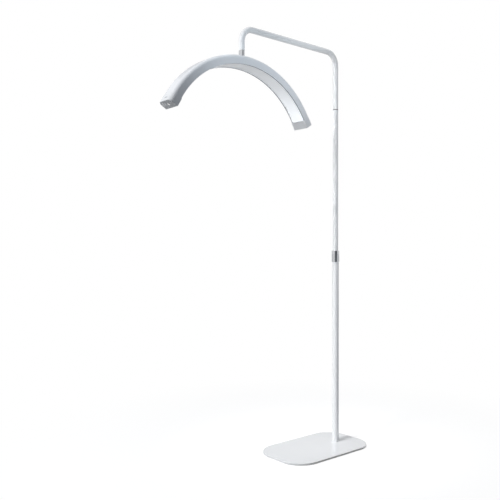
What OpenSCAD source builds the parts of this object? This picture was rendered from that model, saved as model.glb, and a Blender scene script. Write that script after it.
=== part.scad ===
// Half-moon floor lamp: weighted foot, telescopic pole, bent arm and arched light head.
// Millimetres, +Z up. The origin is the centre of the footprint on the floor, and the arm points to -X.
// The arch lies in the XZ plane. Angles along it are measured from its crown, positive towards +X.

/* [Foot] */
// Length of the foot plate
base_l = 484; // [420:1:600]
// Width of the foot plate
base_w = 286; // [240:1:360]
// Plan radius of the foot plate's corners
base_corner_r = 102; // [60:1:116]
// Thickness of the steel plate
plate_t = 8; // [7:0.5:14]
// Rounding of the plate's upper edge
plate_edge_r = 2; // [1:0.25:3]
// Thickness of the rubber pad under the plate
pad_t = 2; // [1:0.25:4]
// How far the pad stays inside the plate's outline
pad_inset = 4; // [2:0.5:12]
// Distance from the plate's centre to the pole
pole_offset = 130; // [90:1:165]
// Depth of the pole's seat in the plate
seat_depth = 1.5; // [1:0.25:2]
// Thread diameter of the foot screw
foot_screw_d = 10; // [8:0.5:12]
// Length of the foot screw
foot_screw_l = 32; // [24:1:40]
// Height of the foot screw's countersunk head
foot_head_h = 4.5; // [3:0.25:5]
// Width across the foot screw's hex socket
foot_key = 6; // [4:0.5:6.5]
// Depth of the foot screw's hex socket
foot_key_depth = 3.5; // [2:0.25:6]
// Room round the foot screw's head in the pad
pad_hole_room = 2; // [0.5:0.25:6]
// Length of the threaded plug in the pole's foot
foot_plug_l = 36; // [28:1:60]

/* [Pole] */
// Outer diameter of the upper pole and of the arm
upper_d = 25; // [22:0.5:32]
// Wall of the upper pole and of the arm
upper_wall = 1.2; // [1:0.1:2]
// Wall of the lower pole
lower_wall = 1.2; // [1:0.1:2]
// Radial room between the two poles
tube_room = 1.3; // [1:0.1:3]
// Length of the lower pole
lower_len = 822.5; // [600:0.5:1000]
// Length of the upper pole that shows above the lower one
upper_show = 698.5; // [620:0.5:900]
// Length of the upper pole that stays inside the lower one
upper_overlap = 95; // [85:1:140]
// Length of the glide bush on the upper pole
glide_l = 42; // [30:1:60]
// Thickness of the glide bush under the upper pole's end
glide_floor = 3; // [2:0.5:5]

/* [Clamp] */
// Length of the ferrule inside the lower pole
ferrule_in = 30; // [20:1:45]
// Thickness of the ferrule's flange
ferrule_flange = 2; // [1:0.25:4]
// Wall of the ferrule's threaded part
ferrule_wall = 2.2; // [1.6:0.1:4]
// Length of the ferrule's threaded part
thread_l = 26; // [18:1:32]
// Height of the split collet
collet_h = 14; // [8:0.5:16]
// How much narrower the collet is at its top
collet_taper = 1.2; // [0.8:0.1:1.6]
// Width of the collet's slit
collet_slit = 3; // [1.5:0.25:5]
// Height of the lock collar
collar_l = 51; // [49:1:70]
// Wall of the lock collar round the thread
collar_wall = 2.05; // [1.6:0.05:4]
// Edge chamfer of the lock collar
collar_chamfer = 0.8; // [0.4:0.1:1.2]
// Height of the lock collar's grip band
grip_h = 34; // [20:1:40]
// Number of grip grooves round the lock collar
grip_count = 40; // [20:1:60]
// Radius of a grip groove
grip_r = 0.5; // [0.3:0.05:0.8]
// Depth of a grip groove
grip_depth = 0.35; // [0.15:0.05:0.5]

/* [Arm] */
// Distance from the pole to the lamp's stem
arm_reach = 555; // [480:1:700]
// Bend radius of the arm at its centreline
bend_r = 55; // [45:1:90]
// Straight length of the arm above its joint
rise_len = 200; // [120:1:300]
// Straight length of the arm's drop end
drop_len = 39; // [34:1:70]
// Thickness of the dark ring at the arm's joint
ring_t = 3; // [1:0.25:5]
// Diameter of the spigot that turns in the pole
spigot_d = 18; // [14:0.5:19]
// Length of the spigot inside the pole
spigot_down = 50; // [35:1:80]
// Length of the spigot inside the arm
spigot_up = 45; // [35:1:80]
// Height of the grub screw above the joint
spigot_screw_h = 16; // [10:1:24]
// Diameter of the grub screws
grub_d = 5; // [4:0.5:6]
// Length of the grub screws
grub_l = 4.5; // [3:0.25:5]
// How deep the grub screws sit below the tube's surface
grub_sink = 0.4; // [0.2:0.1:0.8]
// Width across the grub screws' hex sockets
grub_key = 2.5; // [1.5:0.1:3]
// Depth of the grub screws' hex sockets
grub_key_depth = 2.2; // [1:0.1:2.5]

/* [Swivel] */
// Diameter of the bright stem
stem_d = 25; // [22:0.5:30]
// Height of the stem between the lamp and its washer
stem_l = 26.5; // [16:0.5:50]
// Edge chamfer of the stem
stem_chamfer = 0.8; // [0.4:0.1:1.5]
// Diameter of the stem's pivot
pivot_d = 12; // [10:0.5:13]
// Depth of the pocket above the pivot's bearing
pivot_pocket = 10; // [8:0.5:12]
// Thickness of the friction washer
washer_t = 1.5; // [0.8:0.1:3]
// Thickness of the disc spring
spring_t = 0.8; // [0.5:0.1:1]
// Cone height of the disc spring
spring_cone = 0.6; // [0.4:0.1:0.8]
// Thickness of the circlip
circlip_t = 1; // [0.8:0.1:1.5]
// Depth of the circlip's groove
circlip_groove = 0.8; // [0.5:0.1:1.2]
// How far the circlip stands out from the pivot
circlip_rim = 2; // [1:0.25:2.5]
// Room round the circlip in its pocket
pocket_room = 1; // [0.4:0.1:1.5]
// Length of the pivot above the circlip
pivot_end = 2.5; // [1:0.25:4]
// Diameter of the stem's threaded stud
stud_d = 10; // [8:0.5:12]
// Height of the stem nut
nut_h = 8; // [6:0.5:9]
// Width across the stem nut's flats
nut_flats = 17; // [15:0.5:19]
// Thread that shows below the stem nut
stud_proud = 1.5; // [0.5:0.25:2]
// Thickness of the saddle plate inside the housing
saddle_t = 4; // [3:0.25:5]
// Width of the saddle plate
saddle_w = 40; // [30:1:44]
// Length of the saddle plate along the arch
saddle_l = 50; // [30:1:80]

/* [Lamp head] */
// Outer radius of the arch
lamp_r = 405; // [340:1:480]
// Radial depth of the head
lamp_depth = 38; // [35:0.5:60]
// Width of the head
lamp_w = 76; // [64:0.5:100]
// Half of the housing's angle
lamp_half = 59.5; // [45:0.5:80]
// Rounding of the head's outer corners
lamp_corner_r = 15; // [12.5:0.25:17]
// Wall of the housing
lamp_wall = 2; // [1.6:0.1:2.6]
// Width of the lips that hold the diffuser
lip_w = 3; // [2:0.25:5]
// Thickness of the diffuser
diffuser_t = 2; // [1.5:0.1:3]
// Thickness of the ribs inside the housing
rib_t = 1.2; // [1:0.1:1.6]
// Width of the ribs inside the housing
rib_w = 3; // [2:0.25:4]
// Outer radius of the screw ports along the housing
port_r = 3.2; // [2.8:0.1:3.8]

/* [Light] */
// Thickness of the LED boards
board_t = 1.6; // [1:0.1:2]
// Gap between the two LED boards at the crown
board_split = 0.8; // [0.4:0.1:2]
// Angle that the LED boards stop short of the housing's ends
board_short = 0.25; // [0.15:0.05:1]
// Number of LED positions along each board
led_count = 24; // [10:1:40]
// Length of an LED along the arch
led_l = 2.8; // [2:0.1:4]
// Width of an LED
led_w = 3.5; // [2:0.1:6]
// Height of an LED
led_h = 0.8; // [0.5:0.1:1.5]
// Distance between the two rows of LEDs
led_rows = 28; // [16:1:40]
// Length of the connector between the boards
link_l = 16; // [10:1:24]
// Width of the connector between the boards
link_w = 8; // [5:0.5:10]
// Height of the connector between the boards
link_h = 2; // [1:0.25:3]
// Distance of the connector from the head's middle
link_y = 19; // [17:0.5:22]

/* [End caps] */
// Length of an end cap
cap_l = 35; // [32:0.5:60]
// How far an end cap stands proud of the housing
cap_proud = 1.5; // [1:0.1:1.8]
// Wall of an end cap
cap_wall = 2.2; // [2:0.1:3]
// End wall of an end cap
cap_end = 2.5; // [2:0.1:3]
// Radius of the screw posts in an end cap
post_r = 4.2; // [3.9:0.1:4.6]
// Diameter of the end cap screws
cap_screw_d = 3; // [2.5:0.1:3.2]
// Radius of the end cap screws' heads
cap_head_r = 2.8; // [2.4:0.1:3]
// Height of the end cap screws' heads
cap_head_h = 2; // [1.5:0.1:2.5]
// How deep the screw heads sit below the end face
cap_head_sink = 0.6; // [0.2:0.1:1]
// Width across the end cap screws' hex sockets
cap_key = 2; // [1.5:0.1:2.5]
// Depth of the end cap screws' hex sockets
cap_key_depth = 1; // [0.5:0.1:1.8]
// Length of an end cap screw inside the housing
cap_screw_in = 8; // [6:0.5:10]

/* [Controls] */
// Length of the push button across the head
button_l = 13; // [10:0.5:16]
// Width of the push button
button_w = 5; // [4:0.25:7]
// How far the button stands proud of the cap
button_proud = 0.8; // [0.8:0.1:1.5]
// Travel of the button
button_travel = 0.7; // [0.4:0.1:0.8]
// Thickness of the button's retaining flange
button_flange_t = 1.2; // [0.8:0.1:1.6]
// Width of the button's retaining flange
button_flange = 1.5; // [1:0.1:2]
// Diameter of the button's plunger
plunger_d = 4; // [3:0.25:5]
// Thickness of the driver board
pcb_t = 1.6; // [1:0.1:2]
// Clear length in front of and behind the driver board
pcb_margin = 2; // [1:0.25:4]
// Width of the rails that hold the driver board
rail_w = 2; // [1.5:0.1:2.5]
// Radius of the coil on the driver board
coil_r = 5.5; // [4:0.25:6]
// Height of the coil on the driver board
coil_h = 7; // [4:0.5:12]
// Radius of the capacitor on the driver board
capacitor_r = 4; // [3:0.25:6]
// Height of the capacitor on the driver board
capacitor_h = 10; // [6:0.5:14]
// Distance of the coil and the capacitor from the driver board's sides
part_inset = 10; // [9:0.5:12]
// Length and width of a chip on the driver board
chip_l = 5; // [3:0.25:6]
// Height of a chip on the driver board
chip_h = 1.4; // [0.8:0.1:2]
// Distance between the two chips
chip_step = 8; // [7:0.5:9]
// Width of the switch under the button
switch_w = 6; // [5:0.25:8]
// Height of the switch under the button
switch_h = 3.6; // [2.5:0.1:4]

/* [Power inlet] */
// Distance of the inlet from the head's middle, toward its front
jack_y = 6; // [0:0.5:10]
// Outer radius of the inlet's barrel
jack_r = 4; // [3.8:0.1:4.5]
// Outer radius of the inlet's rim
jack_rim_r = 5.5; // [5.2:0.1:6.5]
// Thickness of the inlet's rim
jack_rim_t = 1.2; // [0.8:0.1:2]
// Length of the inlet's barrel inside the cap
jack_l = 14; // [12:0.5:18]
// Radius of the inlet's socket
jack_bore_r = 2.85; // [2.6:0.05:3.2]
// Depth of the inlet's socket
jack_depth = 10; // [8:0.5:11]
// Radius of the inlet's centre pin
jack_pin_r = 1.05; // [0.8:0.05:1.25]
// How far the centre pin stops short of the rim
jack_pin_short = 1; // [0.5:0.1:2]
// Width across the inlet nut's flats
jack_nut_flats = 11; // [10.5:0.25:13]
// Height of the inlet's nut
jack_nut_h = 2; // [1.5:0.1:3]
// Radius of the leads inside the head
lead_r = 0.8; // [0.5:0.05:0.9]
// Distance of the LED boards' leads from the head's middle
lead_y = 5; // [3:0.5:6]
// Length of the leads that lies on an LED board
lead_on_board = 6; // [4:0.5:10]
// Distance from the driver board's edge to the LED boards' leads
lead_inset = 3; // [1.5:0.25:4]
// Length of the leads behind the inlet
lead_back = 5; // [3:0.25:7]

/* [Clearances] */
// Clearance between pieces fixed to each other
fit = 0.05; // [0.02:0.01:0.08]
// Radial clearance of turning and sliding pieces
slide = 0.08; // [0.05:0.01:0.1]
// Axial gap between faces that turn on each other
run_gap = 0.2; // [0.1:0.05:0.4]
// Gap between the lock collar's thread and the ferrule's
thread_gap = 0.15; // [0.1:0.05:0.3]
// Gap round pieces that slip into slots and holes
slot_gap = 0.15; // [0.1:0.05:0.25]
// Gap between the nut's flat face and the curved saddle plate
saddle_gap = 0.3; // [0.2:0.05:0.6]
// Gap between the button and its slot
button_gap = 0.3; // [0.2:0.05:0.5]

/* [Hidden] */
$fn = 96;
// Extra length that carries a cut past a face
cut = 1;

// Foot and pole
pole_x = pole_offset;
plate_top = pad_t + plate_t;
pole_foot_z = plate_top - seat_depth;
upper_r = upper_d / 2;
upper_bore_r = upper_r - upper_wall;
lower_bore_r = upper_r + tube_room;
lower_r = lower_bore_r + lower_wall;
lower_top = pole_foot_z + lower_len;
upper_foot_z = lower_top - upper_overlap;
upper_top = lower_top + upper_show;
foot_hole_r = foot_screw_d / 2 + slot_gap;
foot_head_r = foot_screw_d / 2 + foot_head_h;

// Clamp
thread_r = upper_r + slide + ferrule_wall;
thread_z = lower_top + ferrule_flange;
collet_z = thread_z + thread_l + fit;
collar_bore_r = thread_r + thread_gap;
collar_r = collar_bore_r + collar_wall;
collar_z = thread_z + run_gap;
collet_top_r = thread_r - collet_taper;
collar_mouth_r = upper_r + 2 * run_gap;

// Arm
arm_foot_z = upper_top + ring_t + run_gap;
arm_z = arm_foot_z + rise_len + bend_r;
arm_end_z = arm_z - bend_r - drop_len;
lamp_x = pole_x - arm_reach;
spigot_r = spigot_d / 2;
insert_r = upper_bore_r - fit;
grub_r = grub_d / 2;
grub_out = upper_r - grub_sink;
// Straight tube left free between the end plug and the bend
plug_room = 4;
plug_l = drop_len - plug_room;
plug_floor_z = arm_end_z + plug_l - pivot_pocket;
plug_screw_z = arm_end_z + (plug_l - pivot_pocket) / 2;

// Swivel
pivot_r = pivot_d / 2;
stud_r = stud_d / 2;
stem_r = stem_d / 2;
stem_top = arm_end_z - run_gap - washer_t;
lamp_top = stem_top - stem_l;
lamp_z = lamp_top - lamp_r;
spring_z = plug_floor_z + fit;
circlip_z = spring_z + spring_t + spring_cone + fit;
circlip_in_r = pivot_r - circlip_groove + fit;
circlip_out_r = pivot_r + circlip_rim;
pivot_top = circlip_z + circlip_t + pivot_end;
pocket_r = circlip_out_r + pocket_room;

// Lamp head, as radii from the arch's axis
lamp_in_r = lamp_r - lamp_depth;
lamp_bore_r = lamp_r - lamp_wall;
lamp_inner_w = lamp_w - 2 * lamp_wall;
corner_r0 = lamp_r - lamp_corner_r;
corner_y0 = lamp_w / 2 - lamp_corner_r;
saddle_r1 = lamp_bore_r - fit;
saddle_r0 = saddle_r1 - saddle_t;
nut_top_r = saddle_r0 - saddle_gap;
stud_end_r = nut_top_r - nut_h - stud_proud;
// Room between the stud's end and the LED boards
stud_room = 1;
board_r1 = stud_end_r - stud_room;
board_r0 = board_r1 - board_t;
diffuser_r0 = lamp_in_r + lamp_wall + fit;
diffuser_r1 = diffuser_r0 + diffuser_t;
insert_half = lamp_w / 2 - lamp_wall - slot_gap;
// Overlap of the screw ports with the housing's corner
port_sink = 1.2;
port_off = (lamp_corner_r - lamp_wall - port_r + port_sink) * sqrt(0.5);
port_at = [corner_r0 + port_off, corner_y0 + port_off];
board_end = lamp_half - board_short;
split_angle = board_split / 2 / board_r0 * 180 / PI;
// Gap between flat pieces and the curved boards that carry them
seat_gap = 0.02;
led_step = (board_end - split_angle) / led_count;

// End caps: X runs out of the housing, Y across the head and Z away from the arch's axis
cap_screw_r = cap_screw_d / 2;
cap_head_x = cap_l - cap_head_sink - cap_head_h;
cap_roof = lamp_r + cap_proud - cap_wall;
cap_inner_r = lamp_corner_r + cap_proud - cap_wall;
// Half width of the cap's cavity at height z, which narrows above the start of its round corners
function cap_half(z) = corner_y0 + sqrt(pow(cap_inner_r, 2) - pow(max(z - corner_r0, 0), 2));
jack_z = (lamp_r + lamp_in_r) / 2;
jack_x0 = cap_l - jack_l;
jack_x1 = cap_l + jack_rim_t;
jack_floor_x = jack_x1 - jack_depth;
board_lead_z = board_r1 + seat_gap + lead_r;
// Room between the driver board and both the inlet's barrel and the LED boards' leads
pcb_room = 1.5;
pcb_z0 = max(jack_z + jack_r, board_lead_z + lead_r) + pcb_room;
pcb_z1 = pcb_z0 + pcb_t;
pcb_half = cap_half(pcb_z1) - slot_gap;
pcb_x0 = pcb_margin;
pcb_x1 = cap_l - cap_end - jack_nut_h - pcb_margin;
button_x = cap_l / 2;
button_flange_z = cap_roof - fit;
plunger_z = pcb_z1 + switch_h + button_travel + slot_gap;

paint = "#f2f4f6";
bright = "#b9bec4";
nylon = "#e4e2da";
dark = "#33363a";
steel = "#9aa0a6";
brass = "#c9a85a";

// Shared shapes

// Straight tube standing on z = 0
module tube(r, bore_r, len) {
    linear_extrude(len)
        difference() {
            circle(r);
            circle(bore_r);
        }
}

// Quarter bend of the arm's tube, from the origin upwards and over towards -X
module arm_bend() {
    translate([-bend_r, 0, 0])
        rotate([90, 0, 0])
            rotate_extrude(angle = 90)
                translate([bend_r, 0])
                    difference() {
                        circle(upper_r);
                        circle(upper_bore_r);
                    }
}

// Rounded rectangle in plan
module plan_outline(l, w, r) {
    square([l, w - 2 * r], center = true);
    square([l - 2 * r, w], center = true);
    for (sx = [-1, 1], sy = [-1, 1])
        translate([sx * (l / 2 - r), sy * (w / 2 - r)])
            circle(r);
}

// Edge section of the foot plate: x runs outwards over width w, the upper outer corner is round
module plate_section(w) {
    square([w, plate_t - plate_edge_r]);
    square([w - plate_edge_r, plate_t]);
    translate([w - plate_edge_r, plate_t - plate_edge_r])
        circle(plate_edge_r);
}

// Rounded slab of the foot plate, standing on z = 0
module plate_slab() {
    side_x = base_l / 2 - base_corner_r;
    side_y = base_w / 2 - base_corner_r;
    translate([-side_x, -side_y, 0])
        cube([2 * side_x, 2 * side_y, plate_t]);
    for (sx = [0, 1], sy = [0, 1])
        mirror([sx, 0, 0])
            mirror([0, sy, 0])
                translate([side_x, side_y, 0])
                    rotate_extrude(angle = 90)
                        plate_section(base_corner_r);
    for (s = [0, 180])
        rotate([0, 0, s]) {
            translate([side_x, side_y, 0])
                rotate([90, 0, 0])
                    linear_extrude(2 * side_y)
                        plate_section(base_corner_r);
            translate([-side_x, side_y, 0])
                rotate([90, 0, 90])
                    linear_extrude(2 * side_x)
                        plate_section(base_corner_r);
        }
}

// Hexagonal bar standing on z = 0, by its width across flats
module hex_bar(flats, len) {
    cylinder(d = flats / cos(30), h = len, $fn = 6);
}

// Grub screw along +X with a hex socket in its outer end at x = 0
module grub_screw() {
    rotate([0, -90, 0])
        difference() {
            cylinder(r = grub_r - slot_gap, h = grub_l);
            translate([0, 0, -cut])
                hex_bar(grub_key, grub_key_depth + cut);
        }
}

// Sweeps a section, x as radius and y across the head, along the arch between two angles
module along_arch(from, to) {
    translate([lamp_x, 0, lamp_z])
        rotate([90, 0, 0])
            rotate([0, 0, 90 - to])
                rotate_extrude(angle = to - from, $fn = 240)
                    children();
}

// Puts a piece at an angle of the arch: x along it, y across the head, z away from its axis
module at_arch(angle) {
    translate([lamp_x, 0, lamp_z])
        rotate([0, angle, 0])
            children();
}

// Puts a piece at the left or right end of the housing, with x running out of it
module at_left_end() {
    at_arch(-lamp_half)
        mirror([1, 0, 0])
            children();
}
module at_right_end() {
    at_arch(lamp_half)
        children();
}

// Extrudes a section, x as radius, along x from x0 to x1
module along_end(x0, x1) {
    translate([x0, 0, 0])
        rotate([0, 90, 0])
            linear_extrude(x1 - x0)
                mirror([1, 0])
                    children();
}

// Cylinder along x from x0 to x1
module rod_x(r, x0, x1) {
    translate([x0, 0, 0])
        rotate([0, 90, 0])
            cylinder(r = r, h = x1 - x0);
}

// Section of the head grown by g all round, square on the inner side and round on the outer corners
module head_section(g) {
    r = lamp_corner_r + g;
    half = lamp_w / 2 + g;
    translate([lamp_in_r - g, -half])
        square([corner_r0 - lamp_in_r + g, 2 * half]);
    translate([corner_r0, -corner_y0])
        square([r, 2 * corner_y0]);
    for (s = [-1, 1])
        translate([corner_r0, s * corner_y0])
            circle(r);
}

// Rib on both side walls of the housing, from radius r0
module wall_ribs(r0) {
    reach = rib_w + lamp_wall / 2;
    mid = lamp_inner_w / 2 - rib_w + reach / 2;
    for (s = [-1, 1])
        translate([r0, s * mid - reach / 2])
            square([rib_t, reach]);
}

// Flat band of the arch between two radii and two half widths
module arch_band(r0, r1, half) {
    translate([r0, -half])
        square([r1 - r0, 2 * half]);
}

// Oblong across the head, grown by g
module oblong(l, w, g) {
    square([w + 2 * g, l - w], center = true);
    for (s = [-1, 1])
        translate([0, s * (l - w) / 2])
            circle(w / 2 + g);
}

// Both screw positions of an end
module at_ports() {
    for (s = [-1, 1])
        translate([0, s * port_at[1], port_at[0]])
            children();
}

// Foot

module base_plate() {
    color(paint)
        difference() {
            translate([0, 0, pad_t])
                plate_slab();
            translate([pole_x, 0, pole_foot_z])
                cylinder(r = lower_r + slot_gap, h = seat_depth + cut);
            translate([pole_x, 0, pad_t - cut])
                cylinder(r = foot_hole_r, h = plate_t + 2 * cut);
            translate([pole_x, 0, pad_t])
                cylinder(r1 = foot_head_r + slot_gap, r2 = foot_hole_r, h = foot_head_h);
        }
}

module base_pad() {
    color(dark)
        difference() {
            linear_extrude(pad_t)
                plan_outline(base_l - 2 * pad_inset, base_w - 2 * pad_inset, base_corner_r - pad_inset);
            translate([pole_x, 0, -cut])
                cylinder(r = foot_head_r + pad_hole_room, h = pad_t + 2 * cut);
        }
}

module foot_screw() {
    color(steel)
        translate([pole_x, 0, pad_t])
            difference() {
                union() {
                    cylinder(r1 = foot_head_r, r2 = foot_screw_d / 2, h = foot_head_h);
                    cylinder(r = foot_screw_d / 2, h = foot_screw_l);
                }
                translate([0, 0, -cut])
                    hex_bar(foot_key, foot_key_depth + cut);
            }
}

module foot_plug() {
    color(steel)
        translate([pole_x, 0, pole_foot_z])
            tube(lower_bore_r - fit, foot_screw_d / 2 + fit, foot_plug_l);
}

// Pole and clamp

module lower_pole() {
    color(paint)
        translate([pole_x, 0, pole_foot_z])
            tube(lower_r, lower_bore_r, lower_len);
}

module clamp_ferrule() {
    bore_r = upper_r + slide;
    color(steel)
        translate([pole_x, 0, lower_top])
            difference() {
                union() {
                    translate([0, 0, -ferrule_in])
                        cylinder(r = lower_bore_r - fit, h = ferrule_in);
                    cylinder(r = lower_r, h = ferrule_flange);
                    cylinder(r = thread_r, h = ferrule_flange + thread_l);
                }
                translate([0, 0, -ferrule_in - cut])
                    cylinder(r = bore_r, h = ferrule_in + ferrule_flange + thread_l + 2 * cut);
            }
}

module clamp_collet() {
    color(nylon)
        translate([pole_x, 0, collet_z])
            difference() {
                cylinder(r1 = thread_r, r2 = collet_top_r, h = collet_h);
                translate([0, 0, -cut])
                    cylinder(r = upper_r + slide, h = collet_h + 2 * cut);
                translate([0, -collet_slit / 2, -cut])
                    cube([thread_r + cut, collet_slit, collet_h + 2 * cut]);
            }
}

module lock_collar() {
    cone_z = thread_l + fit;
    top_z = cone_z + collet_h + run_gap;
    color(bright)
        translate([pole_x, 0, collar_z])
            difference() {
                rotate_extrude()
                    polygon([
                        [collar_bore_r, 0],
                        [collar_r - collar_chamfer, 0],
                        [collar_r, collar_chamfer],
                        [collar_r, collar_l - collar_chamfer],
                        [collar_r - collar_chamfer, collar_l],
                        [collar_mouth_r, collar_l],
                        [collar_mouth_r, top_z],
                        [collet_top_r + thread_gap, top_z],
                        [collar_bore_r, cone_z],
                    ]);
                for (i = [0 : grip_count - 1])
                    rotate([0, 0, i * 360 / grip_count])
                        translate([collar_r + grip_r - grip_depth, 0, 2 * collar_chamfer])
                            cylinder(r = grip_r, h = grip_h);
            }
}

module upper_pole() {
    color(paint)
        translate([pole_x, 0, upper_foot_z])
            tube(upper_r, upper_bore_r, upper_overlap + upper_show);
}

module glide_bush() {
    out_r = lower_bore_r - slide;
    color(nylon)
        translate([pole_x, 0, upper_foot_z]) {
            tube(out_r, upper_r + fit, glide_l - glide_floor);
            translate([0, 0, -glide_floor])
                tube(out_r, upper_bore_r, glide_floor);
        }
}

module top_bush() {
    color(nylon)
        translate([pole_x, 0, upper_top - spigot_down + ring_t])
            tube(insert_r, spigot_r + slide, spigot_down - ring_t);
}

module joint_ring() {
    color(dark)
        translate([pole_x, 0, upper_top])
            tube(upper_r, spigot_r + slide, ring_t);
}

// Arm

module arm_tube() {
    color(paint)
        difference() {
            union() {
                translate([pole_x, 0, arm_foot_z])
                    tube(upper_r, upper_bore_r, rise_len);
                translate([pole_x, 0, arm_z - bend_r])
                    arm_bend();
                translate([pole_x - bend_r, 0, arm_z])
                    rotate([0, -90, 0])
                        tube(upper_r, upper_bore_r, arm_reach - 2 * bend_r);
                translate([lamp_x, 0, arm_z - bend_r])
                    mirror([1, 0, 0])
                        arm_bend();
                translate([lamp_x, 0, arm_end_z])
                    tube(upper_r, upper_bore_r, drop_len);
            }
            translate([pole_x, 0, arm_foot_z + spigot_screw_h])
                rotate([-90, 0, 0])
                    cylinder(r = grub_r, h = upper_d);
            translate([lamp_x, 0, plug_screw_z])
                rotate([-90, 0, 0])
                    cylinder(r = grub_r, h = upper_d);
        }
}

module arm_spigot() {
    color(steel)
        translate([pole_x, 0, arm_foot_z])
            difference() {
                union() {
                    cylinder(r = insert_r, h = spigot_up);
                    translate([0, 0, -spigot_down])
                        cylinder(r = spigot_r, h = spigot_down);
                }
                translate([0, grub_out - grub_l - slot_gap, spigot_screw_h])
                    rotate([-90, 0, 0])
                        cylinder(r = grub_r, h = upper_d);
            }
}

module spigot_screw() {
    color(dark)
        translate([pole_x, grub_out, arm_foot_z + spigot_screw_h])
            rotate([0, 0, 90])
                grub_screw();
}

module arm_end_plug() {
    color(steel)
        translate([lamp_x, 0, arm_end_z])
            difference() {
                cylinder(r = insert_r, h = plug_l);
                translate([0, 0, -cut])
                    cylinder(r = pivot_r + slide, h = plug_l + 2 * cut);
                translate([0, 0, plug_l - pivot_pocket])
                    cylinder(r = pocket_r, h = pivot_pocket + cut);
                translate([0, grub_out - grub_l - slot_gap, plug_screw_z - arm_end_z])
                    rotate([-90, 0, 0])
                        cylinder(r = grub_r, h = upper_d);
            }
}

module plug_screw() {
    color(dark)
        translate([lamp_x, grub_out, plug_screw_z])
            rotate([0, 0, 90])
                grub_screw();
}

// Swivel

module swivel_stem() {
    groove_z = circlip_z - fit;
    color(bright)
        translate([lamp_x, 0, 0])
            difference() {
                union() {
                    rotate_extrude()
                        polygon([
                            [0, lamp_top],
                            [stem_r - stem_chamfer, lamp_top],
                            [stem_r, lamp_top + stem_chamfer],
                            [stem_r, stem_top - stem_chamfer],
                            [stem_r - stem_chamfer, stem_top],
                            [0, stem_top],
                        ]);
                    translate([0, 0, stem_top - cut])
                        cylinder(r = pivot_r, h = pivot_top - stem_top + cut);
                    translate([0, 0, lamp_z + stud_end_r])
                        cylinder(r = stud_r, h = lamp_top - lamp_z - stud_end_r + cut);
                }
                translate([0, 0, groove_z])
                    tube(pivot_r + cut, pivot_r - circlip_groove, circlip_t + 2 * fit);
            }
}

module stem_washer() {
    color(nylon)
        translate([lamp_x, 0, stem_top])
            tube(stem_r - stem_chamfer, pivot_r + slide, washer_t);
}

module stem_spring() {
    in_r = pivot_r + slide;
    color(steel)
        translate([lamp_x, 0, spring_z])
            rotate_extrude()
                polygon([
                    [in_r, spring_cone],
                    [circlip_out_r, 0],
                    [circlip_out_r, spring_t],
                    [in_r, spring_cone + spring_t],
                ]);
}

module stem_circlip() {
    color(steel)
        translate([lamp_x, 0, circlip_z])
            difference() {
                tube(circlip_out_r, circlip_in_r, circlip_t);
                translate([0, -pivot_r / 2, -cut])
                    cube([circlip_out_r + cut, pivot_r, circlip_t + 2 * cut]);
            }
}

module saddle_plate() {
    half = saddle_l / 2 / saddle_r0 * 180 / PI;
    color(steel)
        difference() {
            along_arch(-half, half)
                arch_band(saddle_r0, saddle_r1, saddle_w / 2);
            translate([lamp_x, 0, lamp_z + saddle_r0 - saddle_t])
                cylinder(r = stud_r + slot_gap, h = 3 * saddle_t);
        }
}

module stem_nut() {
    color(steel)
        translate([lamp_x, 0, lamp_z + nut_top_r - nut_h])
            difference() {
                hex_bar(nut_flats, nut_h);
                translate([0, 0, -cut])
                    cylinder(r = stud_r + fit, h = nut_h + 2 * cut);
            }
}

// Lamp head

module housing_section() {
    mouth_half = lamp_inner_w / 2 - lip_w;
    difference() {
        union() {
            difference() {
                head_section(0);
                head_section(-lamp_wall);
                translate([lamp_in_r - cut, -mouth_half])
                    square([lamp_wall + 2 * cut, 2 * mouth_half]);
            }
            wall_ribs(diffuser_r1 + fit);
            wall_ribs(board_r0 - fit - rib_t);
            wall_ribs(board_r1 + fit);
            for (s = [-1, 1])
                translate([port_at[0], s * port_at[1]])
                    circle(port_r);
        }
        for (s = [-1, 1])
            translate([port_at[0], s * port_at[1]])
                circle(cap_screw_r + slot_gap);
    }
}

module lamp_housing() {
    color(paint)
        difference() {
            along_arch(-lamp_half, lamp_half)
                housing_section();
            translate([lamp_x, 0, lamp_z + lamp_bore_r - cut])
                cylinder(r = stud_r + slot_gap, h = lamp_wall + 2 * cut);
        }
}

module led_board(from, to) {
    color("white")
        along_arch(from, to)
            arch_band(board_r0, board_r1, insert_half);
}
module led_board_left() {
    led_board(-board_end, -split_angle);
}
module led_board_right() {
    led_board(split_angle, board_end);
}

// Two rows of LEDs on the board that lies on one side of the crown, side = -1 left or 1 right
module leds(side) {
    color("#f3e7b0")
        for (i = [0 : led_count - 1], row = [-1, 1])
            at_arch(side * (split_angle + (i + 0.5) * led_step))
                translate([-led_l / 2, row * led_rows / 2 - led_w / 2, board_r0 - seat_gap - led_h])
                    cube([led_l, led_w, led_h]);
}
module leds_left() {
    leds(-1);
}
module leds_right() {
    leds(1);
}

module board_link() {
    color(nylon)
        translate([lamp_x - link_l / 2, link_y - link_w / 2, lamp_z + board_r1 + seat_gap])
            cube([link_l, link_w, link_h]);
}

module diffuser() {
    color("#dfe4ea")
        along_arch(-lamp_half, lamp_half)
            arch_band(diffuser_r0, diffuser_r1, insert_half);
}

// End caps

module cap_shell() {
    difference() {
        union() {
            difference() {
                along_end(0, cap_l)
                    head_section(cap_proud);
                along_end(-cut, cap_l - cap_end)
                    head_section(cap_proud - cap_wall);
            }
            at_ports()
                rod_x(post_r, 0, cap_l - cap_end / 2);
        }
        at_ports()
            rod_x(cap_screw_r + slot_gap, -cut, cap_l + cut);
        at_ports()
            rod_x(cap_head_r + slot_gap, cap_head_x, cap_l + cut);
    }
}

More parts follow.
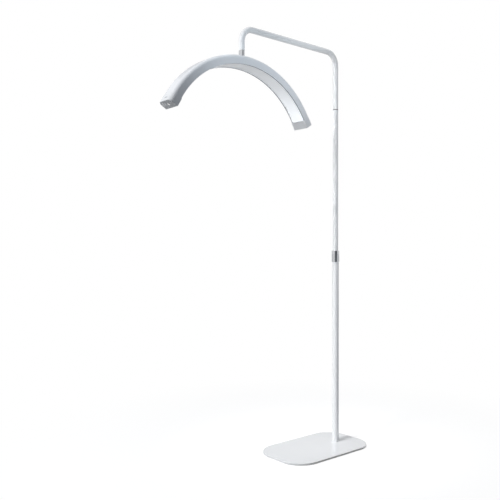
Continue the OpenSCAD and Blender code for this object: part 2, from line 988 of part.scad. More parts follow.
// Rails on the cap's side walls, above and below the driver board
module cap_rails() {
    rail_l = cap_l - cap_end / 2 - pcb_x0;
    for (s = [0, 1], z = [pcb_z0 - slot_gap - rib_t, pcb_z1 + slot_gap])
        mirror([0, s, 0])
            translate([pcb_x0, pcb_half - rail_w, z])
                cube([rail_l, cap_half(z + rib_t) + cap_wall / 2 - pcb_half + rail_w, rib_t]);
}

module end_cap_left() {
    color(paint)
        at_left_end()
            difference() {
                union() {
                    cap_shell();
                    cap_rails();
                }
                translate([0, -jack_y, jack_z])
                    rod_x(jack_r + slot_gap, cap_l - cap_end - cut, cap_l + cut);
                translate([button_x, 0, cap_roof - cut])
                    linear_extrude(cap_wall + 2 * cut)
                        oblong(button_l, button_w, button_gap);
            }
}

module end_cap_right() {
    color(paint)
        at_right_end()
            cap_shell();
}

module cap_screw_pair() {
    at_ports()
        difference() {
            union() {
                rod_x(cap_head_r, cap_head_x, cap_head_x + cap_head_h);
                rod_x(cap_screw_r, -cap_screw_in, cap_head_x + cut);
            }
            translate([cap_head_x + cap_head_h - cap_key_depth, 0, 0])
                rotate([0, 90, 0])
                    hex_bar(cap_key, cap_key_depth + cut);
        }
}
module cap_screws() {
    color(steel) {
        at_left_end()
            cap_screw_pair();
        at_right_end()
            cap_screw_pair();
    }
}

// Controls

module driver_board() {
    color("#2f6b45")
        at_left_end()
            difference() {
                translate([pcb_x0, -pcb_half, pcb_z0])
                    cube([pcb_x1 - pcb_x0, 2 * pcb_half, pcb_t]);
                at_ports()
                    rod_x(post_r + slot_gap, 0, cap_l);
            }
}

// Coil, capacitor and two chips on the inner face of the driver board
module driver_parts() {
    mid_x = (pcb_x0 + pcb_x1) / 2;
    side_y = pcb_half - part_inset;
    chip_y = lead_y + 2 * lead_r;
    color("#3a3a3d")
        at_left_end() {
            translate([mid_x, side_y, pcb_z0 - coil_h])
                cylinder(r = coil_r, h = coil_h);
            translate([mid_x, -side_y, pcb_z0 - capacitor_h])
                cylinder(r = capacitor_r, h = capacitor_h);
            for (i = [0, 1])
                translate([mid_x - chip_l / 2 - i * chip_step, chip_y, pcb_z0 - chip_h])
                    cube([chip_l, chip_l, chip_h]);
        }
}

module tact_switch() {
    color(dark)
        at_left_end()
            translate([button_x - switch_w / 2, -switch_w / 2, pcb_z1])
                cube([switch_w, switch_w, switch_h]);
}

module power_button() {
    color("#c9ced6")
        at_left_end()
            translate([button_x, 0, 0]) {
                translate([0, 0, button_flange_z - cut])
                    linear_extrude(cap_wall + button_proud + fit + cut)
                        oblong(button_l, button_w, 0);
                translate([0, 0, button_flange_z - button_flange_t])
                    linear_extrude(button_flange_t)
                        oblong(button_l, button_w, button_flange);
                translate([0, 0, plunger_z])
                    cylinder(d = plunger_d, h = button_flange_z - plunger_z);
            }
}

// Power inlet

module at_jack() {
    at_left_end()
        translate([0, -jack_y, jack_z])
            children();
}

module dc_jack() {
    color(bright)
        at_jack()
            difference() {
                union() {
                    rod_x(jack_r, jack_x0, cap_l + jack_rim_t / 2);
                    rod_x(jack_rim_r, cap_l, jack_x1);
                }
                rod_x(jack_bore_r, jack_floor_x, jack_x1 + cut);
            }
}

module jack_pin() {
    color(brass)
        at_jack()
            rod_x(jack_pin_r, jack_floor_x, jack_x1 - jack_pin_short);
}

module jack_nut() {
    color(steel)
        at_jack()
            difference() {
                translate([cap_l - cap_end - jack_nut_h, 0, 0])
                    rotate([0, 90, 0])
                        hex_bar(jack_nut_flats, jack_nut_h);
                rod_x(jack_r + fit, 0, cap_l);
            }
}

// Lead that runs along x at height z from x0 to x1 and then rises to the driver board
module lead(x0, x1, z) {
    translate([0, 0, z])
        rod_x(lead_r, x0, x1);
    translate([x1, 0, z])
        sphere(lead_r);
    translate([x1, 0, z])
        cylinder(r = lead_r, h = pcb_z0 - z);
}

// Two leads to the LED boards and two from the inlet
module wiring() {
    jack_lead_y = jack_r / 2;
    color("#b03030")
        at_left_end() {
            for (s = [-1, 1])
                translate([0, s * lead_y, 0])
                    lead(-lead_on_board, pcb_x0 + lead_inset, board_lead_z);
            for (s = [-1, 1])
                translate([0, s * jack_lead_y - jack_y, 0])
                    mirror([1, 0, 0])
                        lead(-jack_x0, lead_back - jack_x0, jack_z);
        }
}

base_plate();
base_pad();
foot_screw();
foot_plug();
lower_pole();
clamp_ferrule();
clamp_collet();
lock_collar();
upper_pole();
glide_bush();
top_bush();
joint_ring();
arm_tube();
arm_spigot();
spigot_screw();
arm_end_plug();
plug_screw();
swivel_stem();
stem_washer();
stem_spring();
stem_circlip();
saddle_plate();
stem_nut();
lamp_housing();
led_board_left();
led_board_right();
leds_left();
leds_right();
board_link();
diffuser();
end_cap_left();
end_cap_right();
cap_screws();
driver_board();
driver_parts();
tact_switch();
power_button();
dc_jack();
jack_pin();
jack_nut();
wiring();
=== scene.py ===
"""Half-moon floor lamp: finer pieces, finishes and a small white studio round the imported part."""
import math

import bmesh
import bpy
from bpy.props import FloatProperty, FloatVectorProperty, IntProperty, PointerProperty
from mathutils import Matrix, Vector


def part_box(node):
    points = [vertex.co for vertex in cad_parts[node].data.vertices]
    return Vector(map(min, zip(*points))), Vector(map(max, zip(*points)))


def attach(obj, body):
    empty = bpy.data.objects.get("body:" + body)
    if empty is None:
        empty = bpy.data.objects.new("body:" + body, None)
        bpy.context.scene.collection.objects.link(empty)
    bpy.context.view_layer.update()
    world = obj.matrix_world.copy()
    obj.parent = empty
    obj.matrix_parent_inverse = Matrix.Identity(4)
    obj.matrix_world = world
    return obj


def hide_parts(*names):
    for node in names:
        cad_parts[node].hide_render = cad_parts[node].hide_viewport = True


bl_info = {
    "name": "Half-Moon Floor Lamp",
    "version": (1, 0, 0),
    "blender": (4, 5, 0),
    "location": "View3D > Sidebar > Lamp",
    "description": "Finer pieces, finishes and a white studio for a half-moon floor lamp",
    "category": "Object",
}

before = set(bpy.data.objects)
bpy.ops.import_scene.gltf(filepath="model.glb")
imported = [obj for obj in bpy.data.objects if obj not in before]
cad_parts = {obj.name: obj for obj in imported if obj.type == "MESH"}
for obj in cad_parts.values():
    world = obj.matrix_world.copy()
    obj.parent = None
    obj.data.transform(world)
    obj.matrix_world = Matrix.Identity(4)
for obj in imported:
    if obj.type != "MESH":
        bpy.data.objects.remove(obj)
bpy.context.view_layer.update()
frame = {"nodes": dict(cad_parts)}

# Distance under which two corners of a copied mesh are one
WELD = 1e-6
# Distance within which the corners of a flat face lie in one plane
FLAT = 1e-5
# Angle above which an edge shades sharp
SHARP = math.radians(32.0)
# Band that most values of a noise texture lie in
NOISE_BAND = (0.3, 0.7)
WHITE = (1.0, 1.0, 1.0)
UP = Vector((0.0, 0.0, 1.0))
ACROSS = Vector((0.0, 1.0, 0.0))


# Settings

def length(name, description, default):
    """Length in metres."""
    return FloatProperty(name=name, description=description, default=default, precision=5, unit="LENGTH")


def angle(name, description, degrees):
    """Angle given in degrees and kept in radians."""
    return FloatProperty(name=name, description=description, default=math.radians(degrees), subtype="ANGLE")


def place(name, description, default):
    """Point in metres."""
    return FloatVectorProperty(name=name, description=description, default=default, subtype="TRANSLATION")


def count(name, description, default, least=1):
    """Whole number of steps or copies."""
    return IntProperty(name=name, description=description, default=default, min=least)


def share(name, description, default):
    """Plain factor, such as a brightness."""
    return FloatProperty(name=name, description=description, default=default)


def tone(name, description, default):
    """Linear colour."""
    return FloatVectorProperty(
        name=name, description=description, default=default, min=0.0, max=1.0, subtype="COLOR"
    )


def power(name, description, default):
    """Power of a light in watts."""
    return FloatProperty(name=name, description=description, default=default, min=0.0, unit="POWER")


class LampShapes(bpy.types.PropertyGroup):
    """Sizes of the pieces that are modelled here"""

    arch_radius: length("Arch radius", "Outer radius of the lamp head", 0.405)
    arch_depth: length("Arch depth", "Depth of the lamp housing", 0.038)
    arch_half: angle("Arch half angle", "Angle from the crown to either end of the housing", 59.5)
    cap_edge: length("Cap edge", "Rounding of an end cap's outer edge", 0.0014)
    cap_steps: count("Cap steps", "Facets in the rounding of an end cap", 5)
    key_edge: length("Key edge", "Rounding of the push button's rim", 0.0007)
    key_steps: count("Key steps", "Facets in the rounding of the push button", 4)
    rim_edge: length("Rim edge", "Rounding of the power inlet's rim", 0.0003)
    rim_steps: count("Rim steps", "Facets in the rounding of the power inlet", 3)
    prism_pitch: length("Prism pitch", "Width of one prism of the diffuser", 0.004)
    prism_height: length("Prism height", "Height of one prism of the diffuser", 0.0005)
    diffuser_wall: length("Diffuser wall", "Thickness of the diffuser", 0.002)
    # The next four sizes shape the black strips beside the diffuser, which are painted shade for the gaps
    # there
    gap_shade_inset: length("Gap shade inset", "Distance of a seal from the housing's side", 0.0004)
    gap_shade_width: length("Gap shade width", "Width of the seals beside the diffuser", 0.0020)
    gap_shade_height: length("Gap shade height", "Height of a seal over the housing's lip", 0.00012)
    gap_shade_steps: count("Gap shade steps", "Facets of a seal along the arch", 96)
    collar_chamfer: length("Collar chamfer", "Chamfer of the lock collar's edges", 0.0008)
    collar_wall: length("Collar wall", "Wall of the lock collar", 0.00205)
    collar_room: length("Collar room", "Gap between the lock collar and the pole", 0.0004)
    grip_height: length("Grip height", "Height of the lock collar's fluted band", 0.034)
    grip_depth: length("Grip depth", "Depth of a flute of the lock collar", 0.00035)
    grip_count: count("Grip count", "Flutes round the lock collar", 40, 12)


class LampFinishes(bpy.types.PropertyGroup):
    """Colours of the finishes, one for each material slot of the record"""

    gloss_white: tone("Gloss white", "Coat of the foot, poles and arm", (0.85, 0.86, 0.87))
    head_white: tone("Head white", "Coat of the lamp housing", (0.76, 0.775, 0.80))
    cap_white: tone("Cap white", "Moulded end caps", (0.75, 0.765, 0.785))
    bright_metal: tone("Bright metal", "Plated collar, stem and inlet", (0.60, 0.61, 0.63))
    zinc_steel: tone("Zinc steel", "Screws, plugs and nuts", (0.55, 0.57, 0.60))
    nylon: tone("Nylon", "Bushes, collet and washer", (0.78, 0.76, 0.70))
    dark_plastic: tone("Dark plastic", "Joint ring, switch and components", (0.022, 0.023, 0.026))
    pad_rubber: tone("Pad rubber", "Pad under the foot", (0.028, 0.028, 0.030))
    board_white: tone("Board white", "LED boards", (0.84, 0.84, 0.81))
    led_yellow: tone("LED yellow", "Phosphor face of the LEDs", (0.84, 0.66, 0.17))
    opal: tone("Opal", "Diffuser", (0.89, 0.92, 0.95))
    circuit_green: tone("Circuit green", "Driver board", (0.020, 0.110, 0.040))
    button_grey: tone("Button grey", "Push button", (0.52, 0.54, 0.57))
    pin_brass: tone("Pin brass", "Centre pin of the inlet", (0.66, 0.44, 0.13))
    lead_red: tone("Lead red", "Sleeves of the leads", (0.34, 0.016, 0.014))


class LampStudio(bpy.types.PropertyGroup):
    """Camera, lights and floor"""

    lens: FloatProperty(name="Lens", description="Focal length", default=45.64, unit="CAMERA")
    sensor: FloatProperty(name="Sensor", description="Width of the sensor", default=36.0, unit="CAMERA")
    drop: share("Drop", "Downward shift of the frame", -0.0053)
    eye: place("Eye", "Place of the camera", (-2.0387, -1.9859, 0.8997))
    turn: angle("Turn", "Heading of the camera about the vertical", -39.84)
    key_power: power("Key", "Wide soft light high on the left", 70.0)
    top_power: power("Top", "Large soft light overhead", 112.0)
    fill_power: power("Fill", "Cool light before the head", 0.285)
    glow_power: power("Glow", "Small light on the diffuser from below", 0.245)
    low_power: power("Low", "Light on the foot and the lower pole from the left", 1.6)
    strip_power: power("Strip", "Tall strip before the pole", 0.60)
    side_power: power("Side", "Tall light on the upper pole and the arm from the left", 6.0)
    arm_power: power("Arm", "Low cool light before the arm", 0.055)
    cool: tone("Cool", "Tint of the lights before the head and the arm", (0.84, 0.93, 1.0))
    ambient: tone("Ambient", "Light from all round", (0.195, 0.213, 0.24))
    bounce: share("Bounce", "Share of light that the floor gives back", 0.38)
    floor_size: length("Floor size", "Side of the floor", 60.0)
    shadow: share("Shadow", "Strength of the shadow on the floor", 0.28)
    shadow_near: length("Shadow near", "Distance from the foot at which the shadow starts to fade", 0.5)
    shadow_far: length("Shadow far", "Distance from the foot at which the shadow ends", 1.6)
    floor_light: share("Floor light", "Light on the open floor", 0.70)
    card: tone("Card", "Grey cards that bright metal mirrors", (0.38, 0.39, 0.41))
    foot_card: share("Foot card", "Brightness of the card that the foot mirrors", 0.62)
    head_card: share("Head card", "Brightness of the card that the head mirrors", 0.25)
    flag_gap: length("Flag gap", "Distance from the foot's front edge to the black flag", 0.015)
    flag_height: length("Flag height", "Height of the black flag before the foot", 0.06)


# Finishes

def noise(tree, scale, stretch=(1.0, 1.0, 1.0)):
    """Noise on the piece's own coordinates."""
    coordinates = tree.nodes.new("ShaderNodeTexCoord")
    mapping = tree.nodes.new("ShaderNodeMapping")
    texture = tree.nodes.new("ShaderNodeTexNoise")
    mapping.inputs["Scale"].default_value = stretch
    texture.inputs["Scale"].default_value = scale
    tree.links.new(coordinates.outputs["Object"], mapping.inputs["Vector"])
    tree.links.new(mapping.outputs["Vector"], texture.inputs["Vector"])
    return texture.outputs["Fac"]


def ranged(tree, value, low, high):
    """Spreads the middle of a noise over a range."""
    node = tree.nodes.new("ShaderNodeMapRange")
    node.inputs["From Min"].default_value, node.inputs["From Max"].default_value = NOISE_BAND
    node.inputs["To Min"].default_value = low
    node.inputs["To Max"].default_value = high
    tree.links.new(value, node.inputs["Value"])
    return node.outputs["Result"]


def blended(tree, factor, first, second):
    """Blend of two colours."""
    node = tree.nodes.new("ShaderNodeMix")
    node.data_type = "RGBA"
    colours = [socket for socket in node.inputs if socket.type == "RGBA"]
    for socket, colour in zip(colours, (first, second)):
        socket.default_value = (*colour, 1.0)
    tree.links.new(factor, node.inputs["Factor"])
    return next(socket for socket in node.outputs if socket.type == "RGBA")


def raised(tree, height, depth):
    """Relief of the given depth in metres."""
    node = tree.nodes.new("ShaderNodeBump")
    node.inputs["Distance"].default_value = depth
    tree.links.new(height, node.inputs["Height"])
    return node.outputs["Normal"]


def finish(name, colour, shade, patch, rough, grain, depth, stretch=(1.0, 1.0, 1.0), **sockets):
    """Material with a cloudy colour, an uneven gloss and a fine relief.

    shade is how far the colour strays, patch and grain are noise scales, rough is the least and greatest
    roughness, depth is the relief's in metres, and sockets go straight on the shader.
    """
    material = bpy.data.materials.new(name)
    material.use_nodes = True
    tree = material.node_tree
    shader = tree.nodes["Principled BSDF"]
    for socket, value in sockets.items():
        shader.inputs[socket.replace("_", " ").title()].default_value = value
    cloud = ranged(tree, noise(tree, patch), 0.0, 1.0)
    dull = [part * (1.0 - shade) for part in colour]
    clear = [min(1.0, part * (1.0 + shade)) for part in colour]
    tree.links.new(blended(tree, cloud, dull, clear), shader.inputs["Base Color"])
    fine = noise(tree, grain, stretch)
    tree.links.new(ranged(tree, fine, *rough), shader.inputs["Roughness"])
    tree.links.new(raised(tree, fine, depth), shader.inputs["Normal"])
    return material


def gloss_white(colour):
    """White coat with a faint orange peel under a clear gloss."""
    return finish(
        "gloss_white_coat", colour, shade=0.015, patch=5.0, rough=(0.09, 0.14), grain=420.0, depth=0.000006,
        coat_weight=1.0,
    )


def head_white(colour):
    """Coat on the extruded channel."""
    return finish(
        "head_white_coat", colour, shade=0.02, patch=9.0, rough=(0.27, 0.35), grain=600.0, depth=0.000006,
        coat_weight=0.15,
    )


def cap_white(colour):
    """Moulded plastic with a fine spark-eroded grain."""
    return finish(
        "cap_plastic", colour, shade=0.02, patch=40.0, rough=(0.38, 0.50), grain=1800.0, depth=0.00003,
    )


def bright_metal(colour):
    """Plated metal with faint turning lines."""
    turned = (40.0, 40.0, 2600.0)
    return finish(
        "bright_plate", colour, shade=0.03, patch=60.0, rough=(0.08, 0.16), grain=1.0, depth=0.000004,
        stretch=turned, metallic=1.0,
    )


def zinc_steel(colour):
    """Zinc plate with a dull bloom."""
    return finish(
        "zinc_plate", colour, shade=0.10, patch=220.0, rough=(0.28, 0.42), grain=900.0, depth=0.00001,
        metallic=1.0,
    )


def nylon(colour):
    """Waxy natural nylon."""
    return finish(
        "natural_nylon", colour, shade=0.03, patch=120.0, rough=(0.36, 0.48), grain=700.0, depth=0.00002,
    )


def dark_plastic(colour):
    """Dark moulded plastic."""
    return finish(
        "dark_plastic_mould", colour, shade=0.15, patch=160.0, rough=(0.40, 0.55), grain=1500.0,
        depth=0.00003,
    )


def pad_rubber(colour):
    """Rubber sheet."""
    return finish(
        "rubber_sheet", colour, shade=0.20, patch=30.0, rough=(0.70, 0.88), grain=1100.0, depth=0.00008,
    )


def board_white(colour):
    """White solder mask."""
    return finish(
        "white_mask", colour, shade=0.02, patch=50.0, rough=(0.22, 0.34), grain=800.0, depth=0.00001,
    )


def led_yellow(colour):
    """Phosphor in clear resin."""
    return finish(
        "phosphor", colour, shade=0.10, patch=900.0, rough=(0.20, 0.35), grain=2600.0, depth=0.00001,
    )


def opal(colour):
    """Opal acrylic with a faint emission that is painted light, lightening the unlit diffuser."""
    return finish(
        "opal_acrylic", colour, shade=0.02, patch=25.0, rough=(0.24, 0.36), grain=900.0, depth=0.00001,
        # Painted glow: this emission brightens the diffuser although the lamp is not lit
        emission_strength=0.17,
    )


def circuit_green(colour):
    """Green solder mask."""
    return finish(
        "green_mask", colour, shade=0.25, patch=260.0, rough=(0.22, 0.36), grain=700.0, depth=0.00002,
    )


def button_grey(colour):
    """Grey key with a satin face."""
    return finish(
        "key_plastic", colour, shade=0.03, patch=90.0, rough=(0.30, 0.42), grain=1600.0, depth=0.00002,
    )


def pin_brass(colour):
    """Turned brass."""
    return finish(
        "turned_brass", colour, shade=0.08, patch=400.0, rough=(0.16, 0.28), grain=1200.0, depth=0.00001,
        metallic=1.0,
    )


def lead_red(colour):
    """Soft lead sleeve."""
    return finish(
        "lead_sleeve", colour, shade=0.08, patch=150.0, rough=(0.40, 0.55), grain=900.0, depth=0.00001,
    )


COATS = {
    coat.__name__: coat
    for coat in (
        gloss_white, head_white, cap_white, bright_metal, zinc_steel, nylon, dark_plastic, pad_rubber,
        board_white, led_yellow, opal, circuit_green, button_grey, pin_brass, lead_red,
    )
}
made_finishes = {}


def material_of(slot):
    """Material of a slot, made on first use."""
    if slot not in made_finishes:
        colour = getattr(bpy.context.scene.lamp_finishes, slot)
        made_finishes[slot] = COATS[slot](tuple(colour))
    return made_finishes[slot]


def dress(slot, *nodes):
    """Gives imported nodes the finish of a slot."""
    for node in nodes:
        materials = frame["nodes"][node].data.materials
        materials.clear()
        materials.append(material_of(slot))


# Modelling

def new_piece(name, bm, body, slot, *nodes):
    """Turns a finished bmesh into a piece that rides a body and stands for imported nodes."""
    mesh = bpy.data.meshes.new(name)
    bm.to_mesh(mesh)
    bm.free()
    mesh.shade_smooth()
    mesh.set_sharp_from_angle(angle=SHARP)
    mesh.materials.append(material_of(slot))
    piece = bpy.data.objects.new(name, mesh)
    bpy.context.scene.collection.objects.link(piece)
    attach(piece, body)
    if nodes:
        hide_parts(*nodes)


def closed(bm):
    """Merges doubled corners and turns every face outwards."""
    bmesh.ops.remove_doubles(bm, verts=bm.verts, dist=WELD)
    bmesh.ops.recalc_face_normals(bm, faces=bm.faces)


def merged_copy(node):
    """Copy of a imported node's mesh with its loose triangles joined."""
    bm = bmesh.new()
    bm.from_mesh(frame["nodes"][node].data)
    bmesh.ops.remove_doubles(bm, verts=bm.verts, dist=WELD)
    return bm


def open_loops(bm):
    """Closed loops of corners round the openings of a mesh."""
    left = {edge for edge in bm.edges if edge.is_boundary}
    loops = []
    while left:
        first, vert = left.pop().verts
        loop = [first]
        while vert is not first:
            loop.append(vert)
            edge = next(edge for edge in vert.link_edges if edge in left)
            left.remove(edge)
            vert = edge.other_vert(vert)
        loops.append(loop)
    return loops


def round_rim(bm, outward, width, steps):
    """Rounds the outer edge of the flat face that lies furthest along a direction."""
    top = max(vert.co.dot(outward) for vert in bm.verts)
    lid = [face for face in bm.faces if all(vert.co.dot(outward) > top - FLAT for vert in face.verts)]
    bmesh.ops.delete(bm, geom=lid, context="FACES")
    ring = max(open_loops(bm), key=lambda loop: sum((a.co - b.co).length for a, b in zip(loop, loop[1:])))
    walls = [bm.edges.get(pair).link_faces[0].normal.copy() for pair in zip(ring, ring[1:] + ring[:1])]
    inward = [-(a + b) * width / (1.0 + a.dot(b)) for a, b in zip(walls[-1:] + walls[:-1], walls)]
    for vert in ring:
        vert.co -= outward * width
    base = [vert.co.copy() for vert in ring]
    edges = [bm.edges.get(pair) for pair in zip(ring, ring[1:] + ring[:1])]
    for step in range(1, steps + 1):
        made = bmesh.ops.extrude_edge_only(bm, edges=edges)["geom"]
        made_verts = {item for item in made if isinstance(item, bmesh.types.BMVert)}
        edges = [
            item for item in made
            if isinstance(item, bmesh.types.BMEdge) and made_verts.issuperset(item.verts)
        ]
        ring = [
            next(edge.other_vert(vert) for edge in vert.link_edges if edge.other_vert(vert) in made_verts)
            for vert in ring
        ]
        turn = math.pi / 2 * step / steps
        rise = outward * width * math.sin(turn)
        for vert, corner, shift in zip(ring, base, inward):
            vert.co = corner + rise + shift * (1.0 - math.cos(turn))
    rims = [edge for edge in bm.edges if edge.is_boundary]
    bmesh.ops.triangle_fill(bm, use_beauty=True, edges=rims, normal=outward)
    bmesh.ops.recalc_face_normals(bm, faces=bm.faces)


def arch_axis():
    """Point on the axis of the lamp head's arch."""
    low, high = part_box("lamp_housing")
    return Vector(((low.x + high.x) / 2, 0.0, high.z - bpy.context.scene.lamp_shapes.arch_radius))


def end_directions(side):
    """Outward direction along the arch and away from its axis at an end, side -1 left or 1 right."""
    half = bpy.context.scene.lamp_shapes.arch_half
    along = Vector((side * math.cos(half), 0.0, -math.sin(half)))
    away = Vector((side * math.sin(half), 0.0, math.cos(half)))
    return along, away


def turned_profile(bm, points, x, steps):
    """Spins an outline of radius and height once round the vertical line at x."""
    verts = [bm.verts.new((x + radius, 0.0, height)) for radius, height in points]
    edges = [bm.edges.new(pair) for pair in zip(verts, verts[1:] + verts[:1])]
    bmesh.ops.spin(
        bm, geom=verts + edges, cent=(x, 0.0, 0.0), axis=UP,
        angle=math.tau, steps=steps, use_merge=True,
    )
    closed(bm)


# Pieces

class LAMP_OT_foot(bpy.types.Operator):
    """Finish the foot plate, its rubber pad and the pole's fixing"""

    bl_idname = "lamp.foot"
    bl_label = "Foot"

    def execute(self, context):
        dress("gloss_white", "base_plate")
        dress("pad_rubber", "base_pad")
        dress("zinc_steel", "foot_screw", "foot_plug")
        return {"FINISHED"}


class LAMP_OT_poles(bpy.types.Operator):
    """Finish both poles, their bushes and the dark ring under the arm"""

    bl_idname = "lamp.poles"
    bl_label = "Poles"

    def execute(self, context):
        dress("gloss_white", "lower_pole", "upper_pole")
        dress("nylon", "glide_bush", "top_bush")
        dress("dark_plastic", "joint_ring")
        return {"FINISHED"}


class LAMP_OT_clamp(bpy.types.Operator):
    """Model the fluted lock collar and finish the clamp inside it"""

    bl_idname = "lamp.clamp"
    bl_label = "Clamp"

    def execute(self, context):
        shapes = context.scene.lamp_shapes
        low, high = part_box("lock_collar")
        middle_x = (low.x + high.x) / 2
        outer = (high.x - low.x) / 2
        bore = outer - shapes.collar_wall
        pole_low, pole_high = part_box("upper_pole")
        mouth = (pole_high.x - pole_low.x) / 2 + shapes.collar_room
        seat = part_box("clamp_collet")[0].z
        chamfer = shapes.collar_chamfer
        grip_low = low.z + 2 * chamfer
        grip_high = grip_low + shapes.grip_height
        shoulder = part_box("clamp_collet")[1].z + shapes.collar_room / 2
        outline = [
            (bore, low.z), (outer - chamfer, low.z), (outer, low.z + chamfer), (outer, grip_low),
            (outer, grip_high), (outer, high.z - chamfer), (outer - chamfer, high.z), (mouth, high.z),
            (mouth, shoulder), (bore - chamfer, shoulder), (bore, seat),
        ]
        bm = bmesh.new()
        turned_profile(bm, outline, middle_x, 2 * shapes.grip_count)
        axis = Vector((middle_x, 0.0, 0.0))
        band = [
            face for face in bm.faces
            if grip_low < face.calc_center_median().z < grip_high
            and (face.calc_center_median() - axis).xy.length > (outer + bore) / 2
        ]
        band.sort(key=lambda face: math.atan2(*(face.calc_center_median() - axis).yx))
        if len(band) != 2 * shapes.grip_count:
            raise RuntimeError("The lock collar's fluted band is not one ring of faces")
        bmesh.ops.inset_individual(
            bm, faces=band[::2], thickness=shapes.grip_depth / 2, depth=-shapes.grip_depth
        )
        new_piece("fluted_collar", bm, "clamp", "bright_metal", "lock_collar")
        dress("zinc_steel", "clamp_ferrule")
        dress("nylon", "clamp_collet")
        return {"FINISHED"}


class LAMP_OT_arm(bpy.types.Operator):
    """Finish the bent arm, its spigot, end plug and grub screws"""

    bl_idname = "lamp.arm"
    bl_label = "Arm"

    def execute(self, context):
        dress("gloss_white", "arm_tube")
        dress("zinc_steel", "arm_spigot", "arm_end_plug")
        dress("dark_plastic", "spigot_screw", "plug_screw")
        return {"FINISHED"}


class LAMP_OT_swivel(bpy.types.Operator):
    """Finish the bright stem and what holds it to the head"""

    bl_idname = "lamp.swivel"
    bl_label = "Swivel"

    def execute(self, context):
        dress("bright_metal", "swivel_stem")
        dress("nylon", "stem_washer")
        dress("zinc_steel", "stem_spring", "stem_circlip", "saddle_plate", "stem_nut")
        return {"FINISHED"}


class LAMP_OT_housing(bpy.types.Operator):
    """Finish the arched housing"""

    bl_idname = "lamp.housing"
    bl_label = "Housing"

    def execute(self, context):
        dress("head_white", "lamp_housing")
        return {"FINISHED"}


class LAMP_OT_diffuser(bpy.types.Operator):
    """Model the prismatic diffuser on the inner side of the arch"""

    bl_idname = "lamp.diffuser"
    bl_label = "Diffuser"

    def execute(self, context):
        shapes = context.scene.lamp_shapes
        axis = arch_axis()
        low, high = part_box("diffuser")
        outer = high.z - axis.z
        inner = outer - shapes.diffuser_wall
        columns = round((high.y - low.y) / shapes.prism_pitch)
        rows = round(2 * shapes.arch_half * inner / shapes.prism_pitch)
        left_end = axis + inner * end_directions(-1)[1]
        bm = bmesh.new()
        ends = [bm.verts.new((left_end.x, y, left_end.z)) for y in (low.y, high.y)]
        bmesh.ops.subdivide_edges(bm, edges=[bm.edges.new(ends)], cuts=columns - 1)
        bmesh.ops.spin(
            bm, geom=bm.verts[:] + bm.edges[:], cent=axis, axis=ACROSS,
            angle=2 * shapes.arch_half, steps=rows,
        )
        bmesh.ops.recalc_face_normals(bm, faces=bm.faces)
        face_in = bm.faces[:]
        towards_axis = axis - face_in[0].calc_center_median()
        if face_in[0].normal.dot(towards_axis) < 0:
            bmesh.ops.reverse_faces(bm, faces=face_in)
        back = bmesh.ops.extrude_face_region(bm, geom=face_in, use_keep_orig=True)["geom"]
        back_verts = [item for item in back if isinstance(item, bmesh.types.BMVert)]
        bmesh.ops.scale(
            bm, verts=back_verts, vec=(outer / inner, 1.0, outer / inner), space=Matrix.Translation(-axis)
        )
        bmesh.ops.recalc_face_normals(bm, faces=bm.faces)
        rim = shapes.prism_pitch
        prisms = [
            face for face in bm.faces
            if face.normal.dot(axis - face.calc_center_median()) > inner / 2
            and low.y + rim < face.calc_center_median().y < high.y - rim
        ]
        bmesh.ops.poke(bm, faces=prisms, offset=shapes.prism_height)
        new_piece("prism_diffuser", bm, "lamp", "opal", "diffuser")
        return {"FINISHED"}


class LAMP_OT_gap_shade(bpy.types.Operator):
    """Model black strips along both sides of the diffuser, painted shade for the gaps by its edges"""

    bl_idname = "lamp.seals"
    bl_label = "Diffuser Seals"

    def execute(self, context):
        shapes = context.scene.lamp_shapes
        axis = arch_axis()
        away = end_directions(-1)[1]
        lip = shapes.arch_radius - shapes.arch_depth
        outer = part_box("lamp_housing")[1].y - shapes.gap_shade_inset
        bm = bmesh.new()
        for side in (-1, 1):
            corners = [
                bm.verts.new(axis + away * radius + ACROSS * side * y)
                for radius, y in (
                    (lip + shapes.gap_shade_height, outer), (lip - shapes.gap_shade_height, outer),
                    (lip - shapes.gap_shade_height, outer - shapes.gap_shade_width),
                    (lip + shapes.gap_shade_height, outer - shapes.gap_shade_width),
                )
            ]
            section = bm.faces.new(corners)
            bmesh.ops.spin(
                bm, geom=[section, *section.edges, *corners], cent=axis, axis=ACROSS,
                angle=2 * shapes.arch_half, steps=shapes.gap_shade_steps,
            )
        closed(bm)
        # Black strips that paint the shade of the gaps beside the diffuser
        new_piece("edge_seals", bm, "lamp", "pad_rubber")
        return {"FINISHED"}


class LAMP_OT_light_boards(bpy.types.Operator):
    """Finish the LED boards, the LEDs and their connector"""

    bl_idname = "lamp.light_boards"
    bl_label = "Light Boards"

    def execute(self, context):
        dress("board_white", "led_board_left", "led_board_right")
        dress("led_yellow", "leds_left", "leds_right")
        dress("nylon", "board_link")
        return {"FINISHED"}


class LAMP_OT_end_caps(bpy.types.Operator):
    """Round the end caps' rims and finish their screws"""

    bl_idname = "lamp.end_caps"
    bl_label = "End Caps"

    def execute(self, context):
        shapes = context.scene.lamp_shapes
        for name, side in (("left", -1), ("right", 1)):
            bm = merged_copy("end_cap_" + name)
            round_rim(bm, end_directions(side)[0], shapes.cap_edge, shapes.cap_steps)
            new_piece("moulded_cap_" + name, bm, "lamp", "cap_white", "end_cap_" + name)
        dress("zinc_steel", "cap_screws")
        return {"FINISHED"}


class LAMP_OT_controls(bpy.types.Operator):
    """Round the push button and finish the driver board behind it"""

    bl_idname = "lamp.controls"
    bl_label = "Controls"

    def execute(self, context):
        shapes = context.scene.lamp_shapes
        bm = merged_copy("power_button")
        round_rim(bm, end_directions(-1)[1], shapes.key_edge, shapes.key_steps)
        new_piece("rounded_button", bm, "button", "button_grey", "power_button")
        dress("circuit_green", "driver_board")
        dress("dark_plastic", "driver_parts", "tact_switch")
        dress("lead_red", "wiring")
        return {"FINISHED"}


